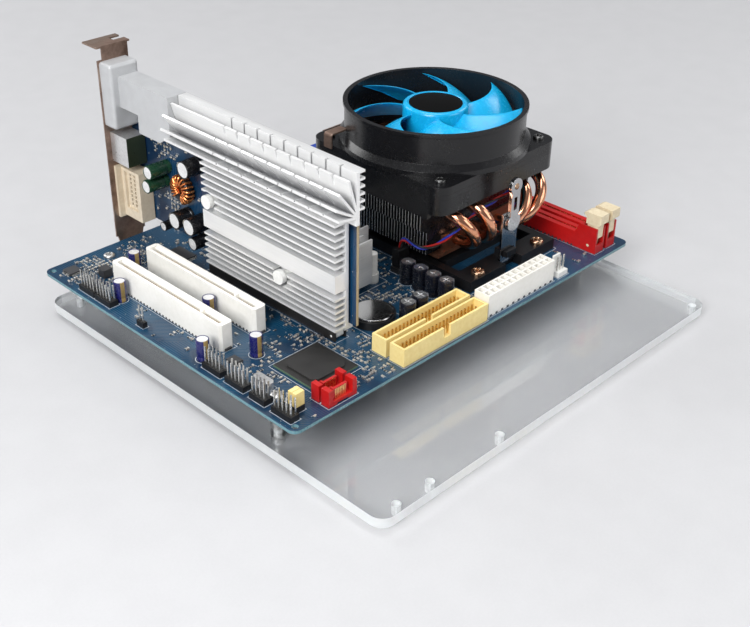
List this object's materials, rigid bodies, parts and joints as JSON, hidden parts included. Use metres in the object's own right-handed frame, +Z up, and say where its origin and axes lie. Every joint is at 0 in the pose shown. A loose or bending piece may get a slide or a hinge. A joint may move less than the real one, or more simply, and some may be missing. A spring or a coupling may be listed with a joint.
{
  "type": "open air test bench",
  "caption": "Clear plate on standoffs that holds a small mainboard in the open, with a down-draft cooler, a low-profile graphics card on a tall bracket, card slots and sockets.",
  "frame": {"origin": "centre of the part's box on the table, under the plate screws' heads", "axes": "+X along the board's front edge to the memory slots, +Y to the rear ports, +Z up"},
  "size_m": [0.2438, 0.2592, 0.1286],
  "materials": {
    "clear_acrylic": "polished, with frosted hole walls",
    "steel": "plain zinc",
    "bronze_steel": "yellow zinc with brown stains",
    "chrome_steel": "bright",
    "board_blue": "solder mask",
    "ivory_plastic": "moulded",
    "cream_plastic": "moulded",
    "red_plastic": "moulded",
    "yellow_plastic": "moulded",
    "blue_plastic": "moulded",
    "black_plastic": "moulded",
    "chip_black": "moulded",
    "gold_pins": "plated",
    "silver_can": "plain",
    "blue_sleeve": "shrunk film with a light stripe",
    "dark_sleeve": "shrunk film with a light stripe",
    "heatsink_silver": "satin",
    "heatsink_grey": "satin",
    "fin_black": "black nickel",
    "copper": "bare copper",
    "fan_blue": "translucent blue",
    "cover_silver": "satin silver",
    "red_wire": "insulated wires",
    "white_plastic": "moulded"
  },
  "bodies": {
    "bench": {"audio_jacks": "black_plastic", "base_plate": "clear_acrylic", "board_capacitors": "blue_sleeve", "board_screws": "steel", "card_board": "board_blue", "card_bracket": "bronze_steel", "card_capacitors": "dark_sleeve", "card_cover": "cover_silver", "card_heatsink": "heatsink_silver", "cell_holder": "black_plastic", "chips": "chip_black", "choke": "copper", "clip_strap": "chrome_steel", "coin_cell": "steel", "cooler_base": "copper", "cooler_fins": "fin_black", "cooler_screws": "bronze_steel", "crystal_can": "silver_can", "digital_port": "cream_plastic", "drive_headers": "yellow_plastic", "drive_pins": "gold_pins", "expansion_slots": "ivory_plastic", "fan_bracket": "bronze_steel", "fan_frame": "black_plastic", "fan_headers": "white_plastic", "fan_lead": "red_wire", "fan_plug": "black_plastic", "fan_shroud": "black_plastic", "fan_stator": "black_plastic", "graphics_slot": "cream_plastic", "header_bases": "black_plastic", "header_pins": "gold_pins", "heat_pipes": "copper", "jumper_caps": "yellow_plastic", "keyboard_ports": "black_plastic", "main_board": "board_blue", "memory_slots": "red_plastic", "metal_ports": "silver_can", "north_heatsink": "heatsink_grey", "plate_screws": "steel", "power_sockets": "ivory_plastic", "processor": "steel", "processor_socket": "black_plastic", "push_pins": "white_plastic", "retention_frame": "black_plastic", "screen_port": "blue_plastic", "serial_ports": "red_plastic", "signal_ports": "silver_can", "socket_lever": "steel", "south_chip": "chip_black", "standoffs": "steel", "supply_capacitors": "dark_sleeve"},
    "fan_rotor": {"fan_rotor": "fan_blue"},
    "clip_lever": {"clip_lever": "chrome_steel"},
    "slot_latch": {"slot_latch": "white_plastic"},
    "memory_latch_1_front": {"memory_latch_1_front": "cream_plastic"},
    "memory_latch_1_rear": {"memory_latch_1_rear": "cream_plastic"},
    "memory_latch_2_front": {"memory_latch_2_front": "cream_plastic"},
    "memory_latch_2_rear": {"memory_latch_2_rear": "cream_plastic"}
  },
  "joints": [
    {"name": "fan_spin", "type": "hinge", "parent": "bench", "child": "fan_rotor", "pos_m": [0.05208, 0.00385, 0.0871], "axis": [0, 0, 1], "continuous": true},
    {"name": "clip_lever_turn", "type": "hinge", "parent": "bench", "child": "clip_lever", "pos_m": [0.05208, -0.05125, 0.0506], "axis": [0, 1, 0], "range_deg": [0, 90]},
    {"name": "slot_latch_tilt", "type": "hinge", "parent": "bench", "child": "slot_latch", "pos_m": [-0.05792, -0.03705, 0.0259], "axis": [1, 0, 0], "range_deg": [0, 35]},
    {"name": "memory_latch_1_front_tilt", "type": "hinge", "parent": "bench", "child": "memory_latch_1_front", "pos_m": [0.10018, -0.06865, 0.0272], "axis": [1, 0, 0], "range_deg": [0, 30]},
    {"name": "memory_latch_1_rear_tilt", "type": "hinge", "parent": "bench", "child": "memory_latch_1_rear", "pos_m": [0.10018, 0.06235, 0.0272], "axis": [-1, 0, 0], "range_deg": [0, 30]},
    {"name": "memory_latch_2_front_tilt", "type": "hinge", "parent": "bench", "child": "memory_latch_2_front", "pos_m": [0.11018, -0.06865, 0.0272], "axis": [1, 0, 0], "range_deg": [0, 30]},
    {"name": "memory_latch_2_rear_tilt", "type": "hinge", "parent": "bench", "child": "memory_latch_2_rear", "pos_m": [0.11018, 0.06235, 0.0272], "axis": [-1, 0, 0], "range_deg": [0, 30]}
  ]
}
